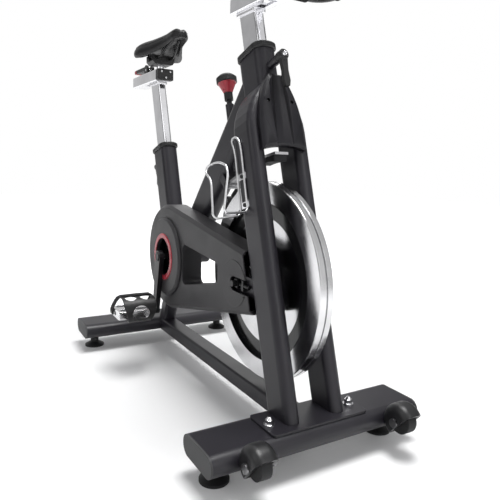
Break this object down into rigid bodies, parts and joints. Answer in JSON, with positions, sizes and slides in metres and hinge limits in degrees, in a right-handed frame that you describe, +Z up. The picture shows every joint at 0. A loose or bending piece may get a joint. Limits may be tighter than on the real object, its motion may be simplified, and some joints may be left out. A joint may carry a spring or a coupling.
{
  "type": "exercise bike",
  "caption": "Indoor exercise bike with a front flywheel, belt drive under a side cover, adjustable saddle and handlebar posts, push brake, toe-cage pedals and transport wheels.",
  "frame": {"origin": "on the floor under the middle of the bike's overall box", "axes": "+X towards the front wheels of the bike, +Y to the rider's left, +Z up"},
  "size_m": [1.2608, 0.56, 1.1389],
  "materials": {
    "frame_paint": "satin",
    "plate_paint": "satin",
    "cap_plastic": "matte",
    "cover_plastic": "satin",
    "black_plastic": "matte",
    "red_plastic": "gloss",
    "rubber": "matte",
    "foam": "matte",
    "saddle_cover": "satin",
    "chrome": "polished",
    "steel": "satin",
    "flywheel_iron": "polished",
    "aluminium": "polished",
    "brake_felt": "matte"
  },
  "bodies": {
    "frame": {"front_stabilizer": "frame_paint", "rear_stabilizer": "frame_paint", "lower_beam": "frame_paint", "fork_leg_right": "frame_paint", "fork_leg_left": "frame_paint", "head_tube": "frame_paint", "main_tube": "frame_paint", "seat_tube": "frame_paint", "rear_strut": "frame_paint", "bottom_bracket_shell": "frame_paint", "front_mount_plate": "plate_paint", "stabilizer_end_caps": "cap_plastic", "drive_cover": "cover_plastic", "inner_cover": "cover_plastic", "cover_disc": "cover_plastic", "fork_shroud": "cover_plastic", "wheel_housings": "cover_plastic", "post_collars": "black_plastic", "levelling_feet": "black_plastic", "cover_ring": "red_plastic", "drive_belt": "rubber", "base_fasteners": "chrome", "crank_bearings": "steel", "flywheel_axle": "steel", "axle_fasteners": "steel", "brake_bracket": "steel", "bottle_cage": "steel"},
    "flywheel": {"flywheel": "flywheel_iron", "flywheel_pulley": "aluminium", "flywheel_bearings": "steel"},
    "crank": {"crank_axle": "steel", "crank_arm_right": "frame_paint", "crank_arm_left": "frame_paint", "crank_pulley": "aluminium", "pedal_spindles": "steel"},
    "pedal_right": {"pedal_right": "aluminium", "toe_cage_right": "black_plastic"},
    "pedal_left": {"pedal_left": "aluminium", "toe_cage_left": "black_plastic"},
    "seat_post": {"seat_post": "chrome"},
    "seat_slider": {"seat_slider": "chrome", "slider_end_cap": "black_plastic", "saddle_clamp": "steel", "saddle_rails": "steel", "saddle": "saddle_cover"},
    "seat_slider_lever": {"seat_slider_lever": "black_plastic"},
    "seat_post_lever": {"seat_post_lever": "black_plastic"},
    "handlebar_post": {"handlebar_post": "chrome"},
    "bar_slider": {"bar_slider": "chrome", "handlebar": "frame_paint", "handlebar_grips": "foam"},
    "bar_slider_lever": {"bar_slider_lever": "black_plastic"},
    "bar_post_lever": {"bar_post_lever": "black_plastic"},
    "brake_rod": {"brake_rod": "steel"},
    "resistance_knob": {"resistance_knob": "black_plastic"},
    "brake_arm": {"brake_arm": "chrome", "brake_pad": "brake_felt"},
    "transport_wheel_right": {"transport_wheel_right": "rubber"},
    "transport_wheel_left": {"transport_wheel_left": "rubber"}
  },
  "joints": [
    {"name": "flywheel_spin", "type": "hinge", "parent": "frame", "child": "flywheel", "pos_m": [0.30662, 0, 0.351], "axis": [0, 1, 0], "continuous": true},
    {"name": "crank_spin", "type": "hinge", "parent": "frame", "child": "crank", "pos_m": [-0.11538, 0, 0.346], "axis": [0, 1, 0], "continuous": true},
    {"name": "pedal_right_spin", "type": "hinge", "parent": "crank", "child": "pedal_right", "pos_m": [-0.1449, -0.184, 0.17858], "axis": [0, 1, 0], "continuous": true},
    {"name": "pedal_left_spin", "type": "hinge", "parent": "crank", "child": "pedal_left", "pos_m": [-0.08586, 0.184, 0.51342], "axis": [0, 1, 0], "continuous": true},
    {"name": "seat_height", "type": "slide", "parent": "frame", "child": "seat_post", "axis": [-0.2924, 0, 0.9563], "range_m": [-0.15, 0.08]},
    {"name": "saddle_fore_aft", "type": "slide", "parent": "seat_post", "child": "seat_slider", "axis": [1, 0, 0], "range_m": [0, 0.075]},
    {"name": "seat_slider_lever_lift", "type": "hinge", "parent": "seat_post", "child": "seat_slider_lever", "pos_m": [-0.50738, 0, 0.948], "axis": [0, 1, 0], "range_deg": [0, 90]},
    {"name": "seat_post_lever_turn", "type": "hinge", "parent": "frame", "child": "seat_post_lever", "pos_m": [-0.38722, 0, 0.61938], "axis": [-0.9563, 0, -0.2924], "range_deg": [-90, 90]},
    {"name": "handlebar_height", "type": "slide", "parent": "frame", "child": "handlebar_post", "axis": [-0.299, 0, 0.9542], "range_m": [-0.055, 0.045]},
    {"name": "handlebar_fore_aft", "type": "slide", "parent": "handlebar_post", "child": "bar_slider", "axis": [1, 0, 0], "range_m": [-0.075, 0]},
    {"name": "bar_slider_lever_lift", "type": "hinge", "parent": "handlebar_post", "child": "bar_slider_lever", "pos_m": [0.25662, 0, 1.038], "axis": [0, -1, 0], "range_deg": [0, 90]},
    {"name": "bar_post_lever_turn", "type": "hinge", "parent": "frame", "child": "bar_post_lever", "pos_m": [0.2961, 0, 0.84695], "axis": [0.9542, 0, 0.299], "range_deg": [-90, 90]},
    {"name": "brake_swing", "type": "hinge", "parent": "frame", "child": "brake_arm", "pos_m": [0.13262, 0, 0.572], "axis": [0, 1, 0], "range_deg": [0, 13], "stiffness_Nm_per_rad": 6, "springref_deg": -17.19},
    {"name": "brake_push", "type": "slide", "parent": "frame", "child": "brake_rod", "axis": [0.299, 0, -0.9542], "range_m": [0, 0.008]},
    {"name": "resistance_knob_turn", "type": "hinge", "parent": "brake_rod", "child": "resistance_knob", "pos_m": [0.09762, 0, 0.8], "axis": [-0.299, 0, 0.9542], "range_deg": [-720, 720]},
    {"name": "transport_wheel_right_spin", "type": "hinge", "parent": "frame", "child": "transport_wheel_right", "pos_m": [0.59762, -0.1845, 0.082], "axis": [0, 1, 0], "continuous": true},
    {"name": "transport_wheel_left_spin", "type": "hinge", "parent": "frame", "child": "transport_wheel_left", "pos_m": [0.59762, 0.1845, 0.082], "axis": [0, 1, 0], "continuous": true}
  ],
  "couplings": [
    {"joint": "crank_spin", "follows": "flywheel_spin", "ratio": 0.29787},
    {"joint": "brake_push", "follows": "brake_swing", "m_per_rad": 0.0348}
  ]
}
